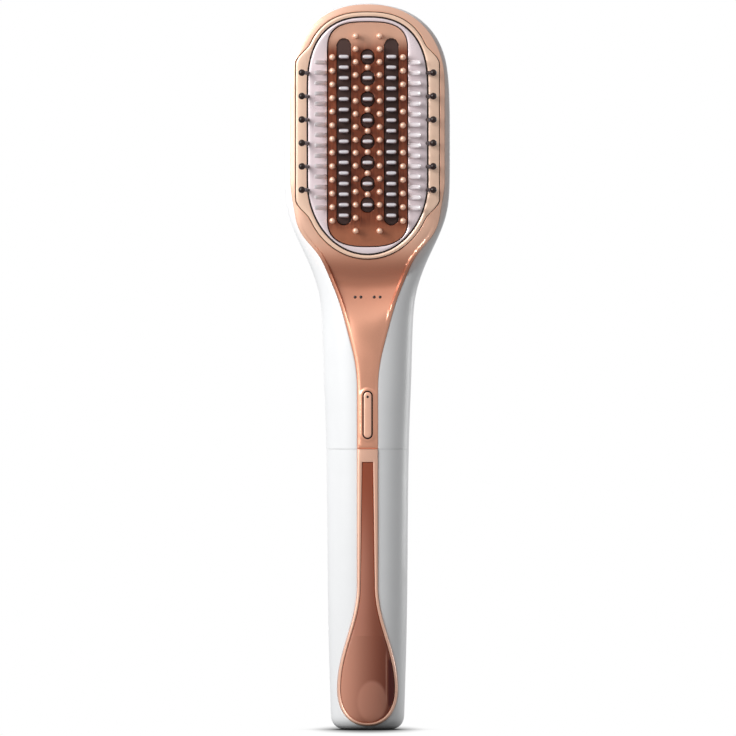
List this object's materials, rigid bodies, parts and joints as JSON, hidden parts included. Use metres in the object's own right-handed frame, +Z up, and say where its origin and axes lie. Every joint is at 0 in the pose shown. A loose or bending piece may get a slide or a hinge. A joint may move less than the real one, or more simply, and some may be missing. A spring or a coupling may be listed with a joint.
{
  "type": "steam hair straightener brush",
  "caption": "Cordless steam hair straightener brush: heated plate with combs, pins and bristles over a grip with a pull-off water tank.",
  "frame": {"origin": "middle of the underside of the flat foot", "axes": "+Z up along the brush, -Y towards the bristle side, +X to the right seen from the bristle side"},
  "size_m": [0.066, 0.036, 0.291],
  "materials": {
    "white_shell": "glossy white ABS",
    "white_insert": "satin white",
    "rose_panel": "metallic rose gold paint, satin",
    "pearl_ring": "pearlescent white with a lilac cast",
    "bronze_plate": "anodised bronze, satin",
    "rose_pins": "satin bronze, heat-proof plastic",
    "clear_comb": "clear heat-proof plastic",
    "pearl_teeth": "milky clear plastic",
    "dark_bristle": "dark nylon",
    "tinted_window": "tinted clear plastic",
    "cast_aluminium": "die cast",
    "silicone": "translucent silicone",
    "steel_parts": "plain",
    "heater_ceramic": "unglazed",
    "felt_pad": "needled fibre",
    "sensor_bead": "epoxy",
    "clear_tube": "translucent",
    "black_plastic": "fine texture",
    "green_board": "solder mask",
    "cell_wrap": "shrink wrap",
    "light_pipe": "dark smoked plastic, lamp off",
    "lead_sleeve": "silicone sleeve",
    "rose_button": "metallic rose gold paint"
  },
  "bodies": {
    "tank": {"tank_shell": "white_shell", "tank_trim_frame": "rose_panel", "tank_window": "tinted_window", "tank_collar": "white_insert"},
    "handpiece": {"front_housing": "rose_panel", "rear_housing": "white_shell", "inner_bezel": "rose_panel", "guard_ring": "pearl_ring", "heater_plate": "bronze_plate", "plate_pins": "rose_pins", "comb_left": "clear_comb", "comb_right": "clear_comb", "comb_centre": "clear_comb", "side_comb_right": "pearl_teeth", "side_comb_left": "pearl_teeth", "bristles_right": "dark_bristle", "bristles_left": "dark_bristle", "steam_block": "cast_aluminium", "block_gasket": "silicone", "block_cover": "cast_aluminium", "block_screws": "steel_parts", "heating_element": "heater_ceramic", "insulation_pad": "felt_pad", "thermal_fuse": "steel_parts", "thermistor": "sensor_bead", "tank_spigot": "white_insert", "spigot_seal": "silicone", "dip_tube": "clear_tube", "dip_filter": "dark_bristle", "suction_hose": "silicone", "feed_hose": "silicone", "pump": "black_plastic", "pump_motor": "steel_parts", "chassis": "black_plastic", "main_board": "green_board", "tact_switch": "black_plastic", "power_cell": "cell_wrap", "charge_socket": "steel_parts", "charge_board": "green_board", "lamp_pipes": "light_pipe", "lamp_board": "green_board", "heater_lead": "lead_sleeve"},
    "button": {"power_button": "rose_button", "button_lens": "light_pipe"}
  },
  "joints": [
    {"name": "tank_lift", "type": "slide", "parent": "tank", "child": "handpiece", "axis": [0, 0, 1], "range_m": [0, 0.115]},
    {"name": "button_press", "type": "slide", "parent": "handpiece", "child": "button", "axis": [0, 1, 0], "range_m": [0, 0.0008], "stiffness_N_per_m": 2000, "springref_m": -0.0002}
  ]
}
